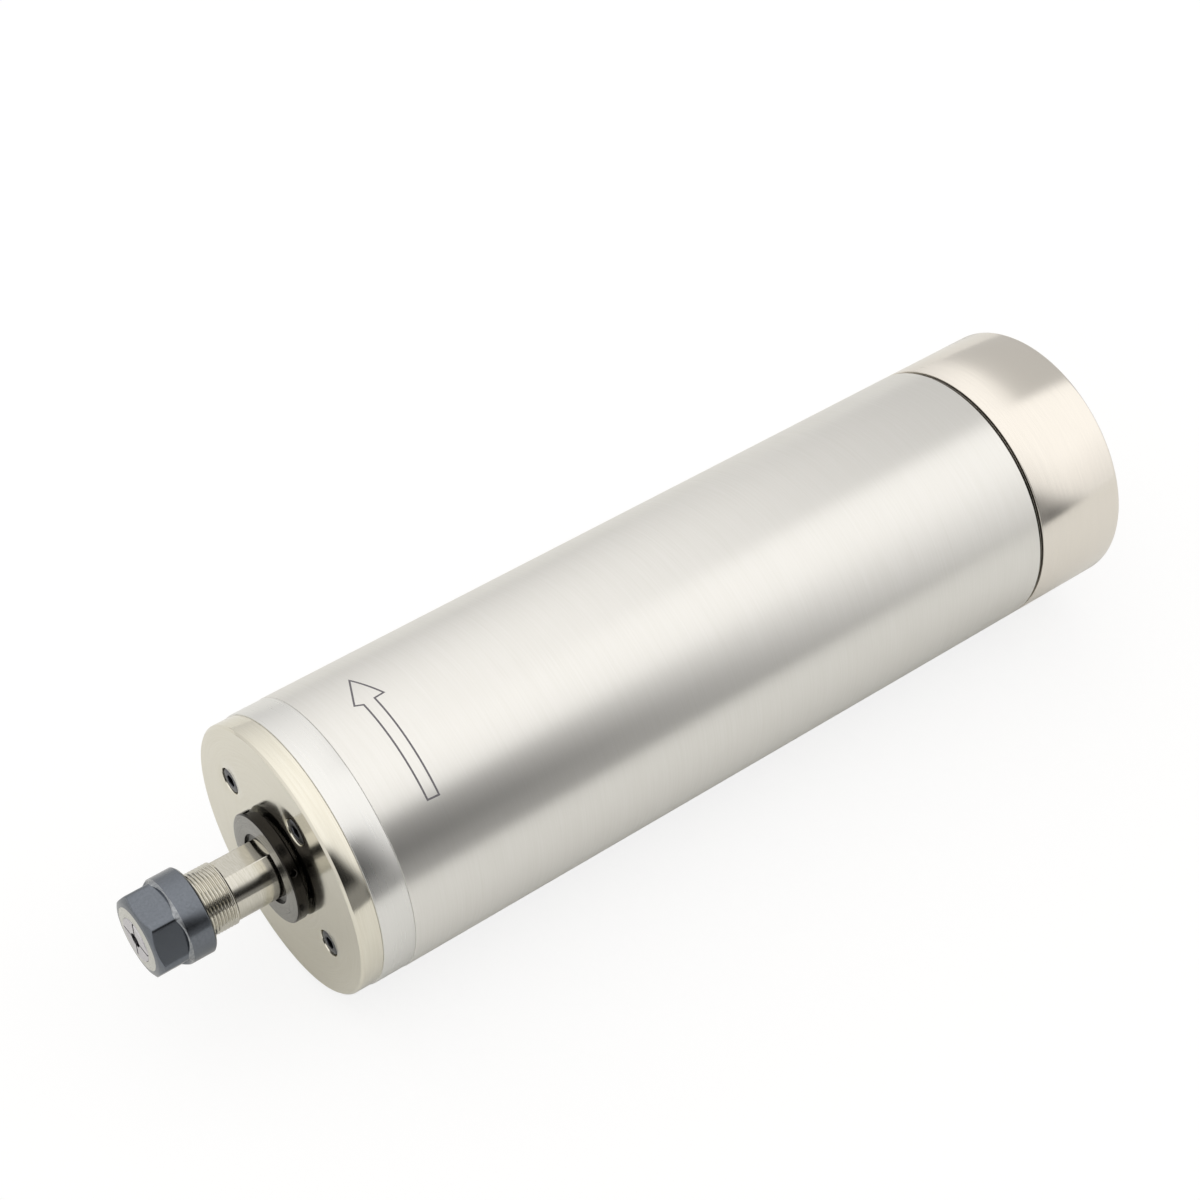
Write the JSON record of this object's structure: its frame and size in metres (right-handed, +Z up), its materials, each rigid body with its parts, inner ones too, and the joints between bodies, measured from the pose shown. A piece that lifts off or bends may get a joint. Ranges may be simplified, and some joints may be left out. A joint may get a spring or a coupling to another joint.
{
  "type": "motor spindle",
  "caption": "Water-cooled motor spindle with a plain cylindrical body for clamping, a collet nose, and coolant fittings and a power connector at the rear.",
  "frame": {"origin": "on the shaft axis, at the middle of the ground tube that a clamp grips", "axes": "+X along the shaft towards the rear cap, so the tool points to -X; +Z up, as the spindle lies on its side"},
  "size_m": [0.2556, 0.062, 0.062],
  "materials": {
    "polished_nickel": "polished nickel-plated steel",
    "ring_steel": "fine-turned steel, bright",
    "tube_steel": "ground stainless steel, fine grain round the axis",
    "shaft_steel": "ground steel",
    "slinger_steel": "dark turned steel",
    "nut_black": "blued steel, satin",
    "collet_steel": "ground spring steel",
    "screw_steel": "stainless steel",
    "bearing_steel": "polished bearing steel",
    "cage_phenolic": "cotton-filled phenolic",
    "spring_steel": "hardened spring steel",
    "jacket_aluminium": "turned aluminium",
    "seal_rubber": "nitrile rubber",
    "lamination_steel": "stacked electrical steel",
    "winding_copper": "varnished copper wire",
    "rotor_aluminium": "cast aluminium",
    "connector_chrome": "bright chrome plate",
    "connector_plastic": "moulded phenolic",
    "pin_silver": "plated brass",
    "fitting_brass": "nickel-plated brass",
    "lead_insulation": "silicone insulation"
  },
  "bodies": {
    "housing": {"outer_tube": "tube_steel", "front_bearing_housing": "ring_steel", "front_plate": "polished_nickel", "front_plate_screws": "screw_steel", "rear_bearing_housing": "jacket_aluminium", "rear_cap": "polished_nickel", "rear_cap_screws": "screw_steel", "water_jacket": "jacket_aluminium", "jacket_seal_front": "seal_rubber", "jacket_seal_rear": "seal_rubber", "coolant_inlet": "fitting_brass", "coolant_outlet": "fitting_brass", "stator_core": "lamination_steel", "stator_winding": "winding_copper", "phase_leads": "lead_insulation", "connector_shell": "connector_chrome", "connector_nut": "connector_chrome", "connector_insert": "connector_plastic", "connector_pins": "pin_silver", "front_bearing_1_outer_ring": "bearing_steel", "front_bearing_2_outer_ring": "bearing_steel", "rear_bearing_outer_ring": "bearing_steel", "preload_spring": "spring_steel"},
    "spindle": {"shaft": "shaft_steel", "slinger_ring": "slinger_steel", "front_bearing_1_inner_ring": "bearing_steel", "front_bearing_2_inner_ring": "bearing_steel", "rear_bearing_inner_ring": "bearing_steel", "retaining_ring": "spring_steel", "rotor_core": "lamination_steel", "rotor_cage": "rotor_aluminium"},
    "front_bearing_cages": {"front_bearing_1_balls": "bearing_steel", "front_bearing_1_cage": "cage_phenolic", "front_bearing_2_balls": "bearing_steel", "front_bearing_2_cage": "cage_phenolic"},
    "rear_bearing_cage": {"rear_bearing_balls": "bearing_steel", "rear_bearing_cage": "cage_phenolic"},
    "collet": {"collet": "collet_steel"},
    "collet_nut": {"collet_nut": "nut_black"}
  },
  "joints": [
    {"name": "spindle_spin", "type": "hinge", "parent": "housing", "child": "spindle", "pos_m": [0, 0, 0], "axis": [-1, 0, 0], "continuous": true},
    {"name": "front_cages_spin", "type": "hinge", "parent": "housing", "child": "front_bearing_cages", "pos_m": [-0.08125, 0, 0], "axis": [-1, 0, 0], "continuous": true},
    {"name": "rear_cage_spin", "type": "hinge", "parent": "housing", "child": "rear_bearing_cage", "pos_m": [0.07475, 0, 0], "axis": [-1, 0, 0], "continuous": true},
    {"name": "collet_slide", "type": "slide", "parent": "spindle", "child": "collet", "axis": [-1, 0, 0], "range_m": [0, 0.006]},
    {"name": "nut_turn", "type": "hinge", "parent": "collet", "child": "collet_nut", "pos_m": [-0.1237, 0, 0], "axis": [-1, 0, 0], "range_deg": [0, 2880]}
  ],
  "couplings": [
    {"joint": "front_cages_spin", "follows": "spindle_spin", "ratio": 0.402},
    {"joint": "rear_cage_spin", "follows": "spindle_spin", "ratio": 0.381},
    {"joint": "nut_turn", "follows": "collet_slide", "rad_per_m": 8377.6}
  ]
}
